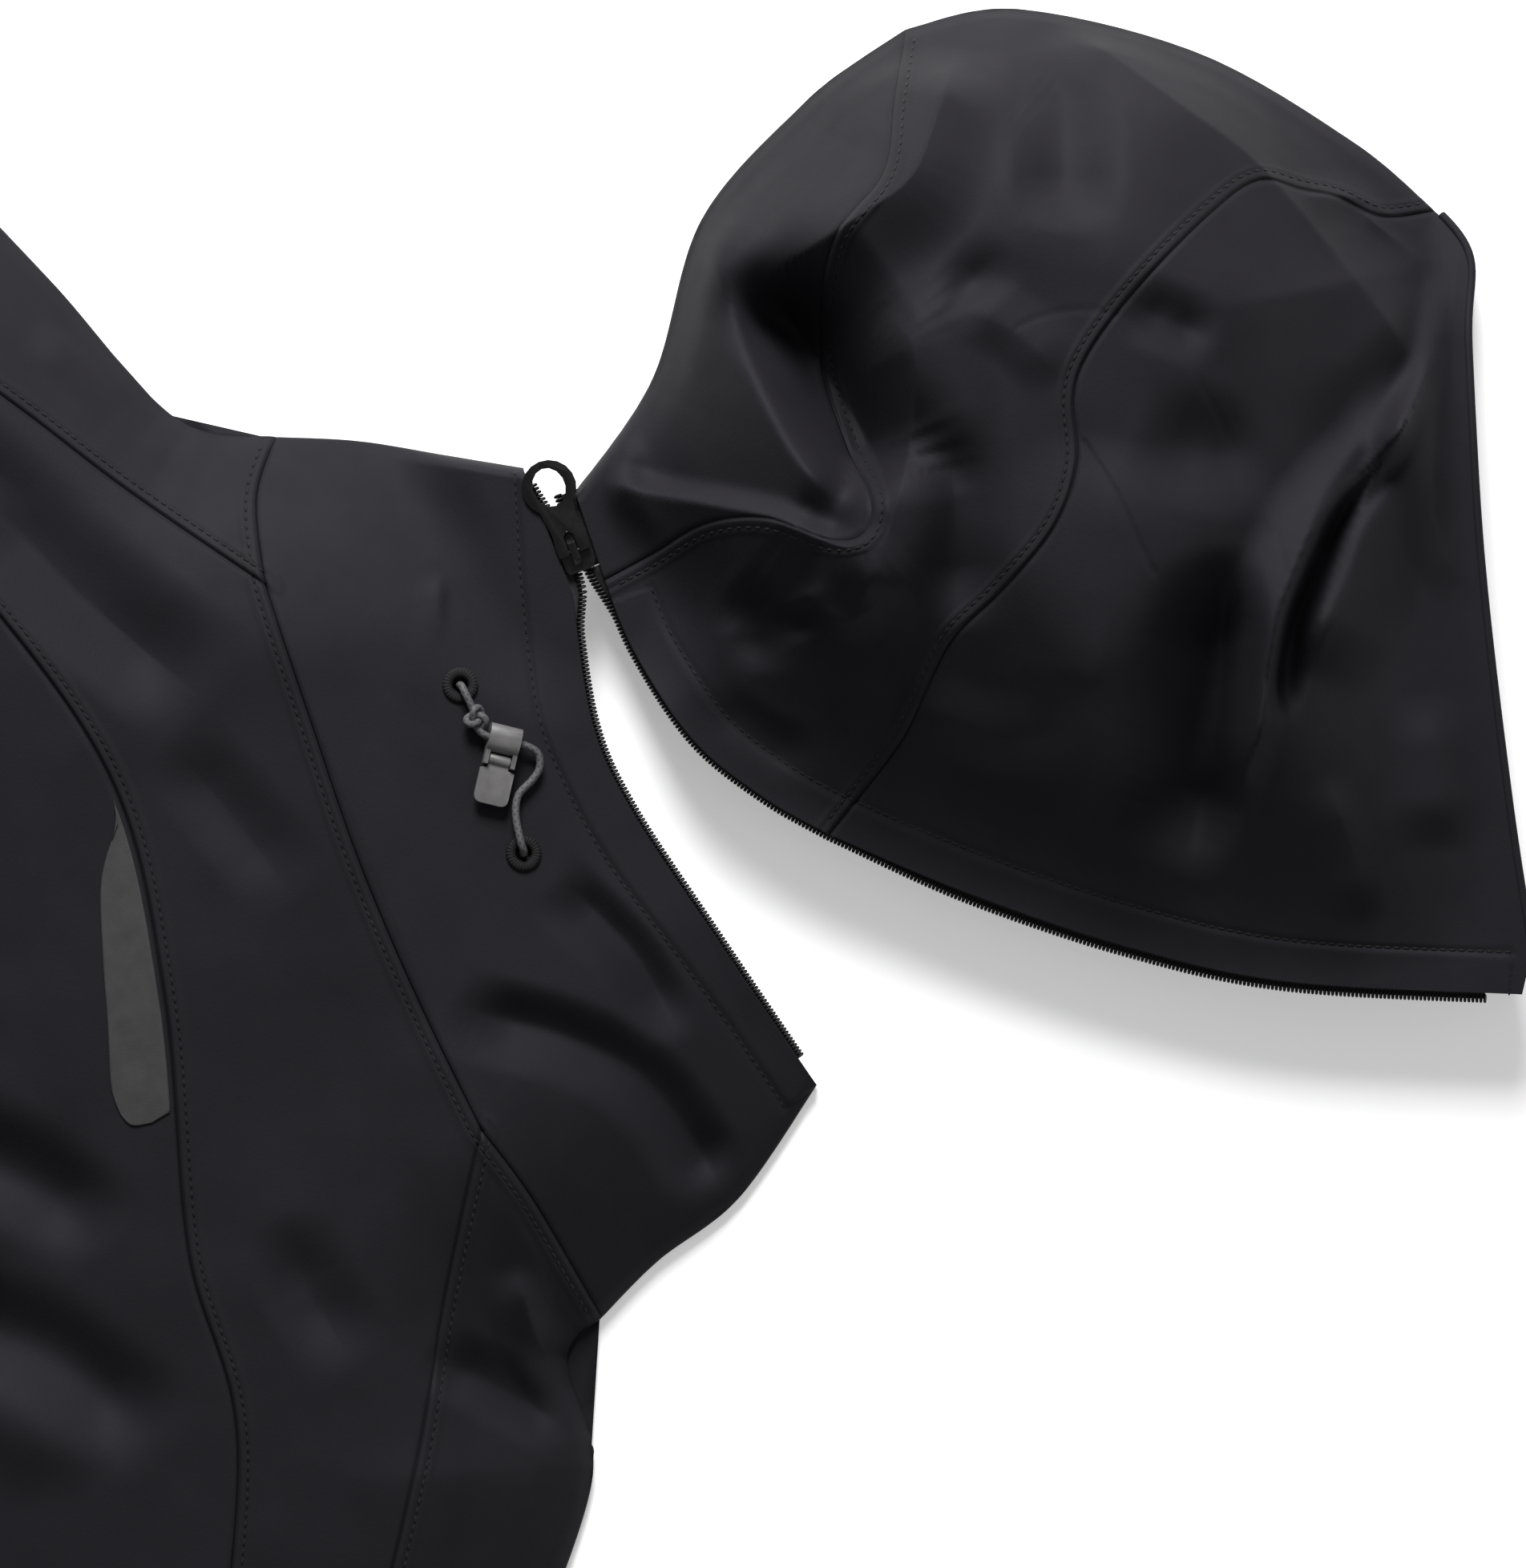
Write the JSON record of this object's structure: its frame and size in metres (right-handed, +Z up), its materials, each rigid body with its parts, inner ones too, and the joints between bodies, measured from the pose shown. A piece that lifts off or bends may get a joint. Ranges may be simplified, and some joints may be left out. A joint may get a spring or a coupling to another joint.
{
  "type": "hardshell jacket",
  "caption": "Hooded shell jacket laid face down, with a part-unzipped detachable hood, collar drawcord and lock, zipped front and pockets, and cuff tabs.",
  "frame": {"origin": "bottom centre of the whole jacket as it lies face down", "axes": "+Z up, away from the ground and out of the jacket's back; +Y from the hem towards the collar and hood; +X towards the wearer's right"},
  "size_m": [1.2156, 1.105, 0.0822],
  "materials": {
    "shell": "matt softshell laminate",
    "lining": "brushed fleece backer",
    "zip_tape": "woven tape and nylon coil",
    "zip_metal": "gloss black enamel",
    "lock_plastic": "moulded grey",
    "cord": "braided elastic cord",
    "rubber_trim": "moulded matt",
    "reflective": "satin reflective film"
  },
  "bodies": {
    "jacket": {"back_yoke": "shell", "back_panel": "shell", "collar_back": "shell", "left_front_yoke": "shell", "right_front_yoke": "shell", "left_sleeve_upper": "shell", "right_sleeve_upper": "shell", "left_front_panel": "shell", "right_front_panel": "shell", "left_sleeve_under": "shell", "right_sleeve_under": "shell", "left_collar_front": "shell", "right_collar_front": "shell", "hood_zip_closed_end": "zip_tape", "collar_zip_tape": "zip_tape", "left_front_zip_tape": "zip_tape", "right_front_zip_tape": "zip_tape", "left_pocket_zip_tape": "zip_tape", "right_pocket_zip_tape": "zip_tape", "left_pocket_bag": "lining", "right_pocket_bag": "lining", "left_eyelet": "rubber_trim", "right_eyelet": "rubber_trim", "cord_lock_body": "lock_plastic", "collar_drawcord": "cord", "collar_lining": "lining", "hanger_loop": "zip_tape", "reflective_patch": "reflective"},
    "hood": {"hood_left_panel": "shell", "hood_center_panel": "shell", "hood_right_panel": "shell", "hood_under_panel": "shell", "hood_face_binding": "shell", "hood_zip_tape": "zip_tape"},
    "hood_zip_slider": {"hood_slider": "zip_metal"},
    "hood_zip_pull": {"hood_pull": "zip_metal"},
    "front_zip_slider": {"front_slider": "zip_metal"},
    "front_zip_pull": {"front_pull": "zip_metal"},
    "left_pocket_zip_slider": {"left_pocket_slider": "zip_metal"},
    "left_pocket_zip_pull": {"left_pocket_pull": "zip_metal"},
    "right_pocket_zip_slider": {"right_pocket_slider": "zip_metal"},
    "right_pocket_zip_pull": {"right_pocket_pull": "zip_metal"},
    "lock_lever": {"cord_lock_lever": "lock_plastic"},
    "left_cuff_strap": {"left_cuff_tab": "rubber_trim"},
    "right_cuff_strap": {"right_cuff_tab": "rubber_trim"}
  },
  "joints": [
    {"name": "hood_swing", "type": "hinge", "parent": "jacket", "child": "hood", "pos_m": [-0.066, 0.25413, 0.01533], "axis": [0, 0, 1], "range_deg": [-5, 5]},
    {"name": "hood_slider_travel", "type": "slide", "parent": "jacket", "child": "hood_zip_slider", "axis": [-1, 0, 0], "range_m": [0, 0.009]},
    {"name": "hood_pull_flip", "type": "hinge", "parent": "hood_zip_slider", "child": "hood_zip_pull", "pos_m": [-0.066, 0.25413, 0.01948], "axis": [0, 1, 0], "range_deg": [0, 150]},
    {"name": "front_slider_travel", "type": "slide", "parent": "jacket", "child": "front_zip_slider", "axis": [0, -1, 0], "range_m": [0, 0.695]},
    {"name": "front_pull_flip", "type": "hinge", "parent": "front_zip_slider", "child": "front_zip_pull", "pos_m": [0, 0.15673, 0.00215], "axis": [1, 0, 0], "range_deg": [0, 150]},
    {"name": "left_pocket_slider_travel", "type": "slide", "parent": "jacket", "child": "left_pocket_zip_slider", "axis": [-0.2419, -0.9703, 0], "range_m": [0, 0.14]},
    {"name": "left_pocket_pull_flip", "type": "hinge", "parent": "left_pocket_zip_slider", "child": "left_pocket_zip_pull", "pos_m": [-0.1609, -0.18091, 0.00215], "axis": [0.9703, -0.2419, 0], "range_deg": [0, 150]},
    {"name": "right_pocket_slider_travel", "type": "slide", "parent": "jacket", "child": "right_pocket_zip_slider", "axis": [0.2419, -0.9703, 0], "range_m": [0, 0.14]},
    {"name": "right_pocket_pull_flip", "type": "hinge", "parent": "right_pocket_zip_slider", "child": "right_pocket_zip_pull", "pos_m": [0.1609, -0.18091, 0.00215], "axis": [0.9703, 0.2419, 0], "range_deg": [0, 150]},
    {"name": "cord_lock_lift", "type": "hinge", "parent": "jacket", "child": "lock_lever", "pos_m": [-0.0135, 0.20846, 0.03089], "axis": [-0.5708, -0.8012, 0.1795], "range_deg": [0, 60]},
    {"name": "left_cuff_tab_peel", "type": "hinge", "parent": "jacket", "child": "left_cuff_strap", "pos_m": [-0.57158, -0.43098, 0.02153], "axis": [-0.5363, -0.8388, -0.0936], "range_deg": [0, 90]},
    {"name": "right_cuff_tab_peel", "type": "hinge", "parent": "jacket", "child": "right_cuff_strap", "pos_m": [0.57158, -0.43098, 0.02153], "axis": [-0.5363, 0.8388, 0.0936], "range_deg": [0, 90]}
  ]
}
